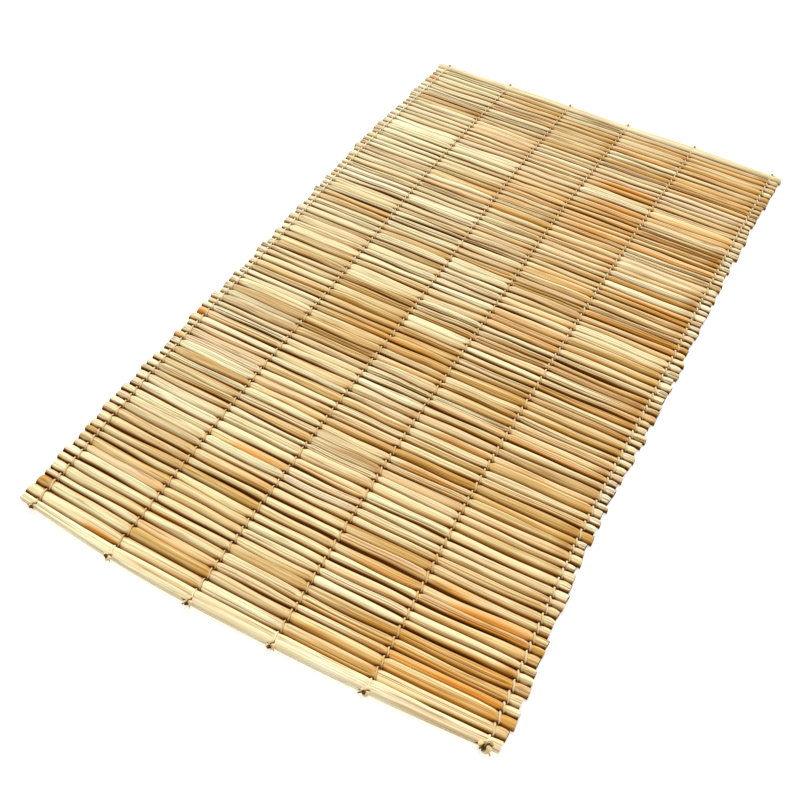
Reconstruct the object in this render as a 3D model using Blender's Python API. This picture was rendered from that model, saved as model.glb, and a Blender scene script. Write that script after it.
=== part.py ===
"""Straw mat: flattened reeds laid side by side, tied by six rows of twine between two border reeds."""

from collections import namedtuple

import bmesh
import bpy
import numpy as np

# Driving dimensions, in metres
MAT_LENGTH = 1.600
MAT_WIDTH = 0.900
BORDER_WIDTH = 0.025
FIELD_REEDS = 86
FIT_GAP = 0.0003

# Heights above the ground, at a twine row and halfway between two rows
ROW_CROWN = 0.0085
BAY_CROWN = 0.0105
ROW_VALLEY = 0.0045
BAY_VALLEY = 0.0056
UNDER_VALLEY = 0.0030
END_SIDE_HEIGHT = 0.0050
TIP_DROP = 0.0008
BORDER_ROW_HEIGHT = 0.0105
BORDER_BAY_HEIGHT = 0.0125

# Half widths as shares of a reed's own width
ROW_CROWN_SHARE = 0.13
BAY_CROWN_SHARE = 0.29
UNDER_SHARE = 0.22
END_SIDE_SHARE = 0.40
TIP_TOP_SHARE = 0.26
TIP_UNDER_SHARE = 0.28
BORDER_PINCH = 0.92

# How uneven the reeds are
REED_SEED = 41
WIDTH_SPREAD = 0.20
CROWN_SPREAD = 0.0008
ROW_CROWN_SPREAD = 0.0003
EDGE_WANDER = 0.0012
TIP_SPREAD = 0.004
TIP_SHIFT = 0.0006

# The near side bows outwards between its corners, and the bow fades along the length
NEAR_BOW = 0.014
BOW_REACH = 0.60

# Distances from the mat's left side line, at five places along its length
Line = namedtuple("Line", "near quarter middle three_quarter far")
TWINE_ROWS = (
    Line(near=0.037, quarter=0.020, middle=0.015, three_quarter=0.010, far=0.025),
    Line(near=0.205, quarter=0.192, middle=0.188, three_quarter=0.182, far=0.195),
    Line(near=0.363, quarter=0.358, middle=0.360, three_quarter=0.353, far=0.360),
    Line(near=0.515, quarter=0.500, middle=0.500, three_quarter=0.500, far=0.515),
    Line(near=0.678, quarter=0.660, middle=0.660, three_quarter=0.669, far=0.685),
    Line(near=0.870, quarter=0.855, middle=0.860, three_quarter=0.865, far=0.878),
)
LEFT_TIPS = Line(near=0.004, quarter=-0.003, middle=-0.003, three_quarter=-0.012, far=0.003)
RIGHT_TIPS = Line(near=0.898, quarter=0.877, middle=0.886, three_quarter=0.888, far=0.900)

# Twine: a three-sided strand that lies over each reed and dips between two of them
TWINE_WIDTH = 0.0032
TWINE_HEIGHT = 0.0026
TWINE_LIFT = 0.0011
TWINE_DIP = 0.0019
TWINE_ON_BORDER = 0.0005
KNOT_WIDTH = 0.0080
KNOT_HEIGHT = 0.0055
TAIL_LENGTH = 0.007
TAIL_DROP = 0.002

# A border reed's section as shares of its width and height, counter-clockwise
BORDER_SECTION = ((-0.30, 0.0), (0.30, 0.0), (0.50, 0.30), (0.50, 0.62),
                  (0.28, 1.0), (-0.28, 1.0), (-0.50, 0.62), (-0.50, 0.30))
BORDER_SHOULDER = 0.28
BORDER_SIDE = 0.50
BORDER_SIDE_HEIGHT = 0.62

STATIONS = 2 * len(TWINE_ROWS) - 1
UNDER_STATIONS = (0, STATIONS // 2, STATIONS - 1)


def along_length(line, share):
    """Read a line at a share of the mat's length, as a smooth curve through its five values."""
    padded = (line[0],) + tuple(line) + (line[-1],)
    place = min(max(share, 0.0), 1.0) * (len(line) - 1)
    step = min(int(place), len(line) - 2)
    before, start, end, after = padded[step:step + 4]
    t = place - step
    bend = (2 * before - 5 * start + 4 * end - after) * t ** 2
    twist = (3 * start - before - 3 * end + after) * t ** 3
    return start + 0.5 * ((end - before) * t + bend + twist)


def station_places(y):
    """The twine rows and the middles between them, as distances across the mat at y."""
    rows = [along_length(line, y / MAT_LENGTH) for line in TWINE_ROWS]
    places = [rows[0]]
    for row, following in zip(rows, rows[1:]):
        places += [(row + following) / 2, following]
    return np.array(places)


def bow(x, y):
    """How far the reed at y is pushed towards the near side at x."""
    from_middle = 2 * x / MAT_WIDTH - 1
    fade = np.clip(1 - y / BOW_REACH, 0, 1)
    return NEAR_BOW * np.clip(1 - from_middle ** 2, 0, 1) * fade


def at_rows(row_value, bay_value):
    """One value a station: the first at each twine row, the second between rows."""
    return np.where(np.arange(STATIONS) % 2 == 0, row_value, bay_value)


def lay_reeds():
    """Work out where every field reed lies, as arrays with a row a reed and a column a station."""
    random = np.random.default_rng(REED_SEED)
    widths = random.uniform(1 - WIDTH_SPREAD, 1 + WIDTH_SPREAD, FIELD_REEDS)
    crown_noise = random.uniform(-1, 1, (FIELD_REEDS, STATIONS))
    edge_noise = random.uniform(-1, 1, (FIELD_REEDS + 1, STATIONS))
    tip_noise = random.uniform(-1, 1, (FIELD_REEDS, 2))
    tip_shift = random.uniform(-1, 1, (FIELD_REEDS, 2))
    edge_noise[[0, -1]] = 0
    field = MAT_LENGTH - 2 * BORDER_WIDTH
    edges = BORDER_WIDTH + field * np.concatenate(([0], np.cumsum(widths))) / widths.sum()
    edge_x = np.array([station_places(y) for y in edges])
    straight_y = np.repeat(edges[:, None], STATIONS, axis=1)
    edge_y = straight_y - bow(edge_x, straight_y) + edge_noise * at_rows(0, EDGE_WANDER)
    return {
        "edge_x": edge_x,
        "edge_y": edge_y,
        "x": np.array([station_places(y) for y in (edges[:-1] + edges[1:]) / 2]),
        "y": (edge_y[:-1] + edge_y[1:]) / 2,
        "width": edge_y[1:] - edge_y[:-1],
        "crown": at_rows(ROW_CROWN, BAY_CROWN) + crown_noise * at_rows(ROW_CROWN_SPREAD, CROWN_SPREAD),
        "tip_noise": tip_noise,
        "tip_shift": tip_shift,
    }


def reed_panel_mesh(reeds):
    """Build the field of reeds as one ribbed sheet whose reed ends stand apart on both sides."""
    bm = bmesh.new()
    crown_half = reeds["width"] * at_rows(ROW_CROWN_SHARE, BAY_CROWN_SHARE)
    under_half = reeds["width"] * UNDER_SHARE
    valley_height = at_rows(ROW_VALLEY, BAY_VALLEY)
    valley = [[bm.verts.new((x, y, z)) for x, y, z in zip(reeds["edge_x"][i], reeds["edge_y"][i], valley_height)]
              for i in range(FIELD_REEDS + 1)]
    under_valley = [{j: bm.verts.new((reeds["edge_x"][i, j], reeds["edge_y"][i, j], UNDER_VALLEY))
                     for j in UNDER_STATIONS} for i in range(FIELD_REEDS + 1)]

    def ridge(i, side):
        return [bm.verts.new((reeds["x"][i, j], reeds["y"][i, j] + side * crown_half[i, j], reeds["crown"][i, j]))
                for j in range(STATIONS)]

    def sole(i, side):
        return {j: bm.verts.new((reeds["x"][i, j], reeds["y"][i, j] + side * under_half[i, j], 0))
                for j in UNDER_STATIONS}

    def strip(first, second, stations):
        for j, following in zip(stations, stations[1:]):
            bm.faces.new((first[j], first[following], second[following], second[j]))

    for i in range(FIELD_REEDS):
        near_ridge, far_ridge = ridge(i, -1), ridge(i, 1)
        near_sole, far_sole = sole(i, -1), sole(i, 1)
        strip(valley[i], near_ridge, range(STATIONS))
        strip(near_ridge, far_ridge, range(STATIONS))
        strip(far_ridge, valley[i + 1], range(STATIONS))
        strip(under_valley[i], near_sole, UNDER_STATIONS)
        strip(near_sole, far_sole, UNDER_STATIONS)
        strip(far_sole, under_valley[i + 1], UNDER_STATIONS)
        for end, j in enumerate((0, STATIONS - 1)):
            near_side, far_side = (bm.verts.new((
                reeds["x"][i, j], reeds["y"][i, j] + side * END_SIDE_SHARE * reeds["width"][i, j], END_SIDE_HEIGHT))
                for side in (-1, 1))
            bm.faces.new((valley[i][j], near_ridge[j], near_side))
            bm.faces.new((valley[i][j], near_side, near_sole[j], under_valley[i][j]))
            bm.faces.new((valley[i + 1][j], far_ridge[j], far_side))
            bm.faces.new((valley[i + 1][j], far_side, far_sole[j], under_valley[i + 1][j]))
            root = (near_side, near_ridge[j], far_ridge[j], far_side, far_sole[j], near_sole[j])
            add_reed_end(bm, reeds, i, end, root)
    for outer, outer_under in ((valley[0], under_valley[0]), (valley[-1], under_valley[-1])):
        for j, following in zip(UNDER_STATIONS, UNDER_STATIONS[1:]):
            bm.faces.new(outer[j:following + 1] + [outer_under[following], outer_under[j]])
    return bm


def add_reed_end(bm, reeds, i, end, root):
    """Add the free end of reed i beyond its outer twine row: end 0 at the left, 1 at the right."""
    station = (0, STATIONS - 1)[end]
    line = (LEFT_TIPS, RIGHT_TIPS)[end]
    centre = reeds["y"][i, station] + TIP_SHIFT * reeds["tip_shift"][i, end]
    x = along_length(line, centre / MAT_LENGTH) + TIP_SPREAD * reeds["tip_noise"][i, end]
    width = reeds["width"][i, station]
    top = reeds["crown"][i, (1, STATIONS - 2)[end]] - TIP_DROP
    section = ((-END_SIDE_SHARE, END_SIDE_HEIGHT), (-TIP_TOP_SHARE, top), (TIP_TOP_SHARE, top),
               (END_SIDE_SHARE, END_SIDE_HEIGHT), (TIP_UNDER_SHARE, 0), (-TIP_UNDER_SHARE, 0))
    tip = [bm.verts.new((x, centre + share * width, z)) for share, z in section]
    for k in range(len(root)):
        following = (k + 1) % len(root)
        bm.faces.new((root[k], root[following], tip[following], tip[k]))
    bm.faces.new(tip)


def border_centre(reeds, side):
    """Centre line of a border reed at each station: side -1 is the near one, 1 the far one."""
    edge = {-1: 0, 1: -1}[side]
    return reeds["edge_x"][edge], reeds["edge_y"][edge] + side * (FIT_GAP + BORDER_WIDTH / 2)


def border_reed_mesh(reeds, side):
    """Build a wide border reed along one short side of the mat."""
    bm = bmesh.new()
    x, y = border_centre(reeds, side)
    share = y[0] / MAT_LENGTH
    x = np.concatenate(([along_length(LEFT_TIPS, share)], x, [along_length(RIGHT_TIPS, share)]))
    y = np.concatenate((y[:1], y, y[-1:]))
    height = np.concatenate(([BORDER_ROW_HEIGHT], at_rows(BORDER_ROW_HEIGHT, BORDER_BAY_HEIGHT), [BORDER_ROW_HEIGHT]))
    width = BORDER_WIDTH * np.concatenate(([BORDER_PINCH], at_rows(BORDER_PINCH, 1), [BORDER_PINCH]))
    rings = [[bm.verts.new((x[j], y[j] + a * width[j], b * height[j])) for a, b in BORDER_SECTION]
             for j in range(len(x))]
    join_rings(bm, rings)
    return bm


def join_rings(bm, rings):
    """Skin a row of like rings and close both ends."""
    for ring, following in zip(rings, rings[1:]):
        for k in range(len(ring)):
            after = (k + 1) % len(ring)
            bm.faces.new((ring[k], ring[after], following[after], following[k]))
    bm.faces.new(rings[0])
    bm.faces.new(rings[-1])


def border_path(reeds, side, station):
    """Path of the twine over a border reed, from the field outwards, with its knot and tail."""
    x, y = border_centre(reeds, side)
    x, y = x[station], y[station]
    half = BORDER_WIDTH * BORDER_PINCH
    shoulder = np.array((BORDER_SHOULDER * half, BORDER_ROW_HEIGHT))
    flank_end = np.array((BORDER_SIDE * half, BORDER_SIDE_HEIGHT * BORDER_ROW_HEIGHT))
    run = flank_end - shoulder
    outwards = np.array((-run[1], run[0])) / np.linalg.norm(run) * TWINE_ON_BORDER
    start, stop = shoulder + outwards, flank_end + outwards
    tail = stop + (TAIL_LENGTH, -TAIL_DROP)
    plain, knot = (TWINE_WIDTH, TWINE_HEIGHT), (KNOT_WIDTH, KNOT_HEIGHT)
    steps = [((-shoulder[0], BORDER_ROW_HEIGHT + TWINE_ON_BORDER), plain), (start, plain),
             (start + 0.30 * (stop - start), plain), (start + 0.45 * (stop - start), knot),
             (start + 0.85 * (stop - start), knot), (stop, plain), (tail, plain)]
    return [((x, y + side * across, z), size) for (across, z), size in steps]


def twine_path(reeds, row):
    """Path of one twine row over every reed, from the near knot to the far one."""
    station = 2 * row
    crown = reeds["crown"][:, station]
    beside = np.concatenate(([BORDER_ROW_HEIGHT], crown, [BORDER_ROW_HEIGHT]))
    dips = np.maximum(beside[:-1], beside[1:]) - TWINE_DIP
    plain = (TWINE_WIDTH, TWINE_HEIGHT)
    path = border_path(reeds, -1, station)[::-1]
    for i in range(FIELD_REEDS + 1):
        path.append(((reeds["edge_x"][i, station], reeds["edge_y"][i, station], dips[i]), plain))
        if i < FIELD_REEDS:
            path.append(((reeds["x"][i, station], reeds["y"][i, station], crown[i] + TWINE_LIFT), plain))
    return path + border_path(reeds, 1, station)


def twine_mesh(reeds, row):
    """Build one twine row as a closed three-sided strand, thicker at its knots."""
    bm = bmesh.new()
    path = twine_path(reeds, row)
    places = np.array([place for place, size in path])
    ahead = np.vstack((places[1:], places[-1:])) - np.vstack((places[:1], places[:-1]))
    rings = []
    for place, direction, (place_again, (width, height)) in zip(places, ahead, path):
        outwards = np.array((0, -direction[2], direction[1]))
        outwards = outwards / np.linalg.norm(outwards)
        corners = (place - (width / 2, 0, 0), place + (width / 2, 0, 0), place + height * outwards)
        rings.append([bm.verts.new(corner) for corner in corners])
    join_rings(bm, rings)
    return bm


def plain_material(name, colour, roughness):
    """Make a plain surface of one colour."""
    material = bpy.data.materials.new(name)
    material.use_nodes = True
    shader = material.node_tree.nodes["Principled BSDF"]
    shader.inputs["Base Color"].default_value = (*colour, 1)
    shader.inputs["Roughness"].default_value = roughness
    shader.inputs["Metallic"].default_value = 0
    return material


def add_object(name, bm, material):
    """Turn a mesh into an object with its faces pointing out."""
    bmesh.ops.recalc_face_normals(bm, faces=bm.faces)
    mesh = bpy.data.meshes.new(name)
    bm.to_mesh(mesh)
    bm.free()
    mesh.materials.append(material)
    thing = bpy.data.objects.new(name, mesh)
    bpy.context.scene.collection.objects.link(thing)
    return thing


def centre_over_origin(things):
    """Shift the meshes so that the middle of the mat's box stands over the origin."""
    corners = np.array([vertex.co for thing in things for vertex in thing.data.vertices])
    middle = (corners.min(axis=0) + corners.max(axis=0)) / 2
    for thing in things:
        for vertex in thing.data.vertices:
            vertex.co.x -= middle[0]
            vertex.co.y -= middle[1]


def main():
    for thing in list(bpy.data.objects):
        bpy.data.objects.remove(thing)
    straw = plain_material("straw", (0.66, 0.47, 0.24), 0.60)
    pale_straw = plain_material("pale_straw", (0.80, 0.64, 0.38), 0.55)
    twine = plain_material("twine", (0.50, 0.35, 0.18), 0.85)
    reeds = lay_reeds()
    things = [
        add_object("reed_panel", reed_panel_mesh(reeds), straw),
        add_object("near_border_reed", border_reed_mesh(reeds, -1), pale_straw),
        add_object("far_border_reed", border_reed_mesh(reeds, 1), pale_straw),
    ]
    for row in range(len(TWINE_ROWS)):
        things.append(add_object(f"twine_row_{row + 1}", twine_mesh(reeds, row), twine))
    centre_over_origin(things)


main()
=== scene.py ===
# %% [markdown]
# # A straw mat
# A mat of this kind is a bed of dry reeds laid side by side. Six rows of twine run along its length.
# Each row is two strands that twist round each other, one over and one under each reed, so the reeds
# are pinched where the twine crosses and swell between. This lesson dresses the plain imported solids:
# it makes every reed, strand and knot as a real tube and gives each its own procedural finish.

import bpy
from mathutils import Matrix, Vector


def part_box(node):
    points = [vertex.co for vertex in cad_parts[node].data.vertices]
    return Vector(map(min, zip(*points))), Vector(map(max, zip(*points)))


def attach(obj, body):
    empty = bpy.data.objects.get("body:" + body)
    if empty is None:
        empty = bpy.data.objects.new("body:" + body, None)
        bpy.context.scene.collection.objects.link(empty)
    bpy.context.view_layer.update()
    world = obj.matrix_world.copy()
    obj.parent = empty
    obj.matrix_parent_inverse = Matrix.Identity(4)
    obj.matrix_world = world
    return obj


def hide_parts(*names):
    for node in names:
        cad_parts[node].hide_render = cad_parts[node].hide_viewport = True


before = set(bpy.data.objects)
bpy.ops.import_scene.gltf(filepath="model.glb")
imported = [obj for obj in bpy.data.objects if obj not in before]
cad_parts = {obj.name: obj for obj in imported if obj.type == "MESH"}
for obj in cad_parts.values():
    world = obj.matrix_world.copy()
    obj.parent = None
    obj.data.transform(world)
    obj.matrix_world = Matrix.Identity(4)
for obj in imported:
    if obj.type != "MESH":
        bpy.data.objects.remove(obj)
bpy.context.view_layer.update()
print("nodes in the frame:", ", ".join(sorted(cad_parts)))

# %% Tools
import math
from collections import namedtuple

import bpy
import numpy as np
from mathutils import Matrix, Vector

# %% [markdown]
# ## Where the reeds and the twine lie
# The solids were laid out from a few sizes and one seed. The same sizes and the same seed give the
# same reeds here, so each fine reed lies where its plain rib does. Distances are in metres, x across
# the mat from its left side line and y from its near side, until a last step moves them to the frame.

# %% Sizes shared with the solids
MAT_LENGTH = 1.600
MAT_WIDTH = 0.900
BORDER_WIDTH = 0.025
FIELD_REEDS = 86
FIT_GAP = 0.0003
ROW_CROWN = 0.0085
BAY_CROWN = 0.0105
BORDER_ROW_HEIGHT = 0.0105
BORDER_BAY_HEIGHT = 0.0125
REED_SEED = 41
WIDTH_SPREAD = 0.20
CROWN_SPREAD = 0.0008
ROW_CROWN_SPREAD = 0.0003
EDGE_WANDER = 0.0012
TIP_SPREAD = 0.004
NEAR_BOW = 0.014
BOW_REACH = 0.60

Line = namedtuple("Line", "near quarter middle three_quarter far")
TWINE_ROWS = (
    Line(0.037, 0.020, 0.015, 0.010, 0.025),
    Line(0.205, 0.192, 0.188, 0.182, 0.195),
    Line(0.363, 0.358, 0.360, 0.353, 0.360),
    Line(0.515, 0.500, 0.500, 0.500, 0.515),
    Line(0.678, 0.660, 0.660, 0.669, 0.685),
    Line(0.870, 0.855, 0.860, 0.865, 0.878),
)
LEFT_TIPS = Line(0.004, -0.003, -0.003, -0.012, 0.003)
RIGHT_TIPS = Line(0.898, 0.877, 0.886, 0.888, 0.900)
STATIONS = 2 * len(TWINE_ROWS) - 1
CHANGE_REACH = 0.006


def unit(value):
    """Hold a value between 0 and 1."""
    return np.clip(value, 0, 1)


def along_length(line, share):
    """Read a line at a share of the mat's length, as a smooth curve through its five values."""
    padded = (line[0],) + tuple(line) + (line[-1],)
    place = min(max(share, 0.0), 1.0) * (len(line) - 1)
    step = min(int(place), len(line) - 2)
    before, start, end, after = padded[step:step + 4]
    t = place - step
    bend = (2 * before - 5 * start + 4 * end - after) * t ** 2
    twist = (3 * start - before - 3 * end + after) * t ** 3
    return start + 0.5 * ((end - before) * t + bend + twist)


def station_places(y):
    """The twine rows and the middles between them, as distances across the mat at y."""
    rows = [along_length(line, y / MAT_LENGTH) for line in TWINE_ROWS]
    places = [rows[0]]
    for row, following in zip(rows, rows[1:]):
        places += [(row + following) / 2, following]
    return np.array(places)


def bow(x, y):
    """How far the reed at y is pushed towards the near side at x."""
    from_middle = 2 * x / MAT_WIDTH - 1
    fade = unit(1 - y / BOW_REACH)
    return NEAR_BOW * unit(1 - from_middle ** 2) * fade


print("twine rows at the near side:", [row.near for row in TWINE_ROWS])

# %% Draw the same reeds
random = np.random.default_rng(REED_SEED)
widths = random.uniform(1 - WIDTH_SPREAD, 1 + WIDTH_SPREAD, FIELD_REEDS)
crown_noise = random.uniform(-1, 1, (FIELD_REEDS, STATIONS))
edge_noise = random.uniform(-1, 1, (FIELD_REEDS + 1, STATIONS))
tip_noise = random.uniform(-1, 1, (FIELD_REEDS, 2))
edge_noise[[0, -1]] = 0
is_bay = np.arange(STATIONS) % 2 == 1
field_length = MAT_LENGTH - 2 * BORDER_WIDTH
edges = BORDER_WIDTH + field_length * np.concatenate(([0], np.cumsum(widths))) / widths.sum()
centres = (edges[:-1] + edges[1:]) / 2
crown_heights = (np.where(is_bay, BAY_CROWN, ROW_CROWN)
                 + crown_noise * np.where(is_bay, CROWN_SPREAD, ROW_CROWN_SPREAD))
tip_x = np.array([[along_length(line, y / MAT_LENGTH) for line in (LEFT_TIPS, RIGHT_TIPS)]
                  for y in centres])
tip_x += TIP_SPREAD * tip_noise
print("reed widths from", round(np.diff(edges).min(), 4), "to", round(np.diff(edges).max(), 4))


def ease(x, places, values):
    """Read values given at rising places, with a level tangent at each of them."""
    step = np.clip(np.searchsorted(places, x) - 1, 0, len(places) - 2)
    t = unit((x - places[step]) / (places[step + 1] - places[step]))
    return values[step] + (values[step + 1] - values[step]) * t * t * (3 - 2 * t)


def by_bay(x, rows, values):
    """Read values that hold from one row of twine to the next and change quickly at each row."""
    t = unit((x[:, None] - rows + CHANGE_REACH) / (2 * CHANGE_REACH))
    return values[0] + (t * t * (3 - 2 * t)) @ np.diff(values)


def edge_line(i, x):
    """Where the line between reed i - 1 and reed i runs, at the places x across the mat."""
    wander = np.where(is_bay, EDGE_WANDER * edge_noise[i], 0)
    return edges[i] - bow(x, edges[i]) + ease(x, station_places(edges[i]), wander)


# %% Shift to the frame
near_stations = station_places(edges[0])
panel_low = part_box("reed_panel")[0]
near_border_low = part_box("near_border_reed")[0]
mat_to_frame = np.array((
    panel_low[0] - min(tip_x[:, 0]),
    near_border_low[1] - min(edge_line(0, near_stations) - FIT_GAP - BORDER_WIDTH),
    0.0,
))
print("shift from the mat's measures to the frame:", mat_to_frame.round(4))

# %% [markdown]
# ## A bundle of tubes
# Reeds, strands and tails are all tubes, and hundreds of them are best kept in a few joined meshes.
# A small collector takes rings of points, skins them, closes the ends and keeps the values that the
# finishes read later: these ride on the points as named attributes.

# %% Collect tubes into one mesh
SHARP_ANGLE = math.radians(55)


class Bundle:
    """Tubes that end up in one mesh, with the values that colour their points."""

    def __init__(self):
        self.points = []
        self.faces = []
        self.values = {}
        self.count = 0

    def add_tube(self, rings, **values):
        """Skin rings of points, which turn counter-clockwise about the way that the tube runs."""
        turns, around = rings.shape[:2]
        index = self.count + np.arange(turns * around).reshape(turns, around)
        after = np.roll(index, -1, axis=1)
        quads = np.stack((index[:-1], after[:-1], after[1:], index[1:]), axis=-1)
        self.faces += quads.reshape(-1, 4).tolist()
        self.faces += [index[0, ::-1].tolist(), index[-1].tolist()]
        self.points.append(rings.reshape(-1, 3))
        self.count += turns * around
        for name, value in values.items():
            shape = (turns, around) + value.shape[2:]
            flat = np.broadcast_to(value, shape).reshape((turns * around,) + value.shape[2:])
            self.values.setdefault(name, []).append(flat)

    def build(self, name, material):
        """Make the mesh object, in the frame's coordinates."""
        mesh = bpy.data.meshes.new(name)
        mesh.from_pydata((np.concatenate(self.points) + mat_to_frame).tolist(), [], self.faces)
        for key, parts in self.values.items():
            whole = np.concatenate(parts)
            kind, field = ("FLOAT_VECTOR", "vector") if whole.ndim == 2 else ("FLOAT", "value")
            attribute = mesh.attributes.new(key, kind, "POINT")
            attribute.data.foreach_set(field, whole.ravel().astype(np.float32))
        mesh.shade_smooth()
        mesh.set_sharp_from_angle(angle=SHARP_ANGLE)
        mesh.materials.append(material)
        piece = bpy.data.objects.new(name, mesh)
        bpy.context.scene.collection.objects.link(piece)
        triangles = sum(len(face) - 2 for face in self.faces)
        print(f"{name}: {len(self.faces)} faces, {triangles} triangles")
        return piece


# %% [markdown]
# ## Finishes
# Dry reed is pale straw with tan and pinkish lengths, fine fibres that run along the stem and ochre
# stains. Painted shade darkens the sides where two reeds meet, and the dark lines of the cracks are
# partly painted shade in their furrows. Noise that is stretched along the stem gives the fibres. Four
# things ride on the points: grain runs with each reed, tint says how tan, how stained and how pink or
# grey a length is, side says how deep in a gap a point lies and so how much painted shade it gets, and
# crack follows the creases.
# Shader maths is written as plain expressions on a small class that wraps an output socket.

# %% Write shader maths as expressions


class Wire:
    """An output socket that can be used in sums, products and comparisons."""

    def __init__(self, finish, socket):
        self.finish = finish
        self.socket = socket

    def maths(self, operation, first, second):
        return self.finish.add("ShaderNodeMath", {"operation": operation}, {0: first, 1: second})

    def __add__(self, other):
        return self.maths("ADD", self, other)

    def __sub__(self, other):
        return self.maths("SUBTRACT", self, other)

    def __rsub__(self, other):
        return self.maths("SUBTRACT", other, self)

    def __mul__(self, other):
        return self.maths("MULTIPLY", self, other)

    def __pow__(self, other):
        return self.maths("POWER", self, other)

    __radd__ = __add__
    __rmul__ = __mul__

    def size(self):
        """The value without its sign."""
        return self.maths("ABSOLUTE", self, 0.0)

    def clamped(self):
        """The value held between 0 and 1."""
        settings = {"operation": "ADD", "use_clamp": True}
        return self.finish.add("ShaderNodeMath", settings, {0: self, 1: 0.0})


class Finish:
    """A material in the making: one way to add nodes, and the shader that they end in."""

    def __init__(self, name):
        self.material = bpy.data.materials.new(name)
        self.material.use_nodes = True
        self.tree = self.material.node_tree
        self.shader = self.tree.nodes["Principled BSDF"]

    def join(self, value, socket):
        """Link a wire to a socket, or set the socket's own value."""
        if isinstance(value, Wire):
            self.tree.links.new(value.socket, socket)
        else:
            socket.default_value = value

    def add(self, kind, settings=None, sockets=None, output=0):
        """Add a node: its settings first, then the values or links of its sockets."""
        node = self.tree.nodes.new(kind)
        for name, value in (settings or {}).items():
            setattr(node, name, value)
        for key, value in (sockets or {}).items():
            self.join(value, node.inputs[key])
        return Wire(self, node.outputs[output])

    def attribute(self, name, output="Fac"):
        """A value or a vector that rides on the mesh's points."""
        return self.add("ShaderNodeAttribute", {"attribute_name": name}, output=output)

    def noise(self, vector, scale, detail=2.0, distortion=0.0):
        """Noise between 0 and 1, read at a vector that is scaled along each of its axes."""
        scaled = self.add("ShaderNodeVectorMath", {"operation": "MULTIPLY"}, {0: vector, 1: scale})
        return self.add("ShaderNodeTexNoise", {}, {
            "Vector": scaled,
            "Scale": 1.0,
            "Detail": detail,
            "Distortion": distortion,
        })

    def ramp(self, value, low, high):
        """0 below low and 1 above high, smooth between."""
        return self.add("ShaderNodeMapRange", {"interpolation_type": "SMOOTHSTEP"}, {
            "Value": value, "From Min": low, "From Max": high})

    def blend(self, share, first, second):
        """Mix two colours."""
        sockets = {0: share, 6: first, 7: second}
        return self.add("ShaderNodeMix", {"data_type": "RGBA"}, sockets, output=2)

    def layers(self, colour, *layers):
        """Lay colours over one another, each by its own share."""
        for share, over in layers:
            colour = self.blend(share, colour, over)
        return colour

    def split(self, vector):
        """The three numbers of a vector."""
        first = self.add("ShaderNodeSeparateXYZ", {}, {0: vector})
        return [Wire(self, socket) for socket in first.socket.node.outputs]

    def bump(self, height, strength, distance):
        """Small relief for the shader's normal."""
        sockets = {"Strength": strength, "Distance": distance, "Height": height}
        return self.add("ShaderNodeBump", {}, sockets)

    def surface(self, **sockets):
        """Set or link the shader's sockets, with underscores for the spaces in their names."""
        for name, value in sockets.items():
            self.join(value, self.shader.inputs[name.replace("_", " ")])
        return self.material


# %% Straw
CREAM = (0.880, 0.800, 0.505, 1)
GREEN_CREAM = (0.830, 0.810, 0.490, 1)
BLEACHED = (0.930, 0.900, 0.680, 1)
TAN = (0.560, 0.345, 0.095, 1)
ROSE = (0.640, 0.360, 0.170, 1)
GREYED = (0.590, 0.510, 0.370, 1)
YELLOW = (0.800, 0.360, 0.040, 1)
RUST = (0.520, 0.140, 0.012, 1)
BARK_AND_CREASE_SHADE = (0.220, 0.075, 0.006, 1)
STREAK_BROWN = (0.330, 0.150, 0.022, 1)
FLANK_SHADE_BROWN = (0.420, 0.170, 0.010, 1)
GAP_SHADE_BROWN = (0.120, 0.034, 0.0005, 1)
BORDER_CREAM = (0.90, 0.83, 0.59, 1)
BORDER_TAN = (0.70, 0.50, 0.24, 1)


def straw(name, pale, tan):
    """Finish for a dry reed. A noise's three scales are along, across and through the stem."""
    finish = Finish(name)
    grain = finish.attribute("grain", "Vector")
    tone, stain, rose = finish.split(finish.attribute("tint", "Vector"))
    side = finish.attribute("side")
    first_crack, second_crack, crack = finish.split(finish.attribute("crack", "Vector"))
    slow = finish.noise(grain, (5, 160, 160))
    fibre = finish.noise(grain, (6, 300, 300), detail=3)
    fine = finish.noise(grain, (25, 1100, 1100))
    streak = finish.ramp(finish.noise(grain, (3.5, 240, 240)), 0.52, 0.68)
    scar = finish.ramp(finish.noise(grain, (7, 260, 260), detail=3, distortion=0.5), 0.57, 0.70)
    wander = (fibre - 0.5) * 1.6
    green = finish.ramp(finish.noise(grain, (2.5, 230, 230)), 0.45, 0.61)
    line = finish.ramp((first_crack + wander).size(), 1.30, 0.30)
    line = line + finish.ramp((second_crack + wander).size(), 1.00, 0.20) * 0.8
    # Painted shade deep in the gaps between reeds, read from side, which also holds the darkening
    # before each row.
    painted_shade = (side * (1.3 - 0.6 * fibre)).clamped()
    pale = finish.layers(pale, (green * 0.90, GREEN_CREAM), (0.9 * (-0.25 - tone), BLEACHED))
    colour = finish.layers(
        pale,
        (tone + (slow - 0.5) * 1.5 + (fibre - 0.5) * 1.9, tan),
        (rose * (slow * 1.2), ROSE),
        (-1.0 * rose, GREYED),
        (stain * (0.6 + 1.0 * slow), YELLOW),
        ((stain - 0.35) * (fibre * 3.6 - 1.1), RUST),
        (streak * (0.24 + 0.40 * tone), STREAK_BROWN),
        (scar * 0.60, BARK_AND_CREASE_SHADE),
        # Dark crease lines: partly the reed's own cracks, partly painted shade in their furrows.
        (line * crack, BARK_AND_CREASE_SHADE),
        (painted_shade * 1.8, FLANK_SHADE_BROWN),
        (painted_shade ** 1.6, GAP_SHADE_BROWN),
    )
    return finish.surface(
        Base_Color=colour,
        Roughness=(0.45 + 0.20 * fibre + 0.5 * painted_shade).clamped(),
        Specular_IOR_Level=0.08,
        Normal=finish.bump(fibre + 0.4 * fine, 0.6, 0.0008),
    )


straw_finish = straw("straw", CREAM, TAN)
border_finish = straw("pale_straw", BORDER_CREAM, BORDER_TAN)
print("straw finishes:", straw_finish.name, border_finish.name)

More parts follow.
